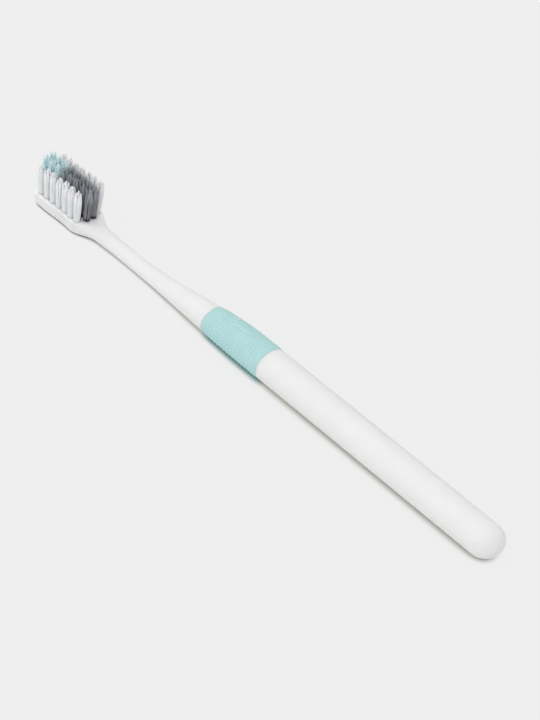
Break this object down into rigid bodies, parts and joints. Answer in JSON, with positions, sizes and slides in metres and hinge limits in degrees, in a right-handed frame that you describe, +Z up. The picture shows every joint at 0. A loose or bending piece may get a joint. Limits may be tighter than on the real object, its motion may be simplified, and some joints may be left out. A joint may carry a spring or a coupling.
{
  "type": "manual toothbrush",
  "caption": "Straight manual toothbrush lying on its back: white moulded handle with a soft dotted mint grip ring and a head of upright bristle tufts in white, grey and mint.",
  "frame": {"origin": "below the middle of the brush, on the surface that it lies on", "axes": "+X from the toe of the head to the end of the handle, +Y across the brush, +Z up, the way the bristles point"},
  "size_m": [0.182, 0.0104, 0.0146],
  "materials": {
    "handle_plastic": "white polypropylene, soft satin gloss",
    "grip_elastomer": "mint thermoplastic elastomer with fine raised dots",
    "bristle_white": "translucent white nylon filament",
    "bristle_grey": "charcoal grey nylon filament",
    "bristle_mint": "mint nylon filament with tapered tips",
    "anchor_metal": "rolled brass wire, cut and pressed flat"
  },
  "bodies": {
    "root": {"handle": "handle_plastic", "grip_sleeve": "grip_elastomer", "anchor_staples": "anchor_metal", "tuft_left_1": "bristle_white", "tuft_left_2": "bristle_white", "tuft_left_3": "bristle_white", "tuft_left_4": "bristle_white", "tuft_left_5": "bristle_white", "tuft_left_6": "bristle_white", "tuft_left_7": "bristle_white", "tuft_inner_left_1": "bristle_mint", "tuft_inner_left_2": "bristle_mint", "tuft_inner_left_3": "bristle_mint", "tuft_inner_left_4": "bristle_grey", "tuft_inner_left_5": "bristle_grey", "tuft_inner_left_6": "bristle_grey", "tuft_inner_left_7": "bristle_grey", "tuft_inner_left_8": "bristle_grey", "tuft_inner_right_1": "bristle_mint", "tuft_inner_right_2": "bristle_mint", "tuft_inner_right_3": "bristle_mint", "tuft_inner_right_4": "bristle_grey", "tuft_inner_right_5": "bristle_grey", "tuft_inner_right_6": "bristle_grey", "tuft_inner_right_7": "bristle_grey", "tuft_inner_right_8": "bristle_grey", "tuft_right_1": "bristle_white", "tuft_right_2": "bristle_white", "tuft_right_3": "bristle_white", "tuft_right_4": "bristle_white", "tuft_right_5": "bristle_white", "tuft_right_6": "bristle_white", "tuft_right_7": "bristle_white"}
  },
  "joints": []
}
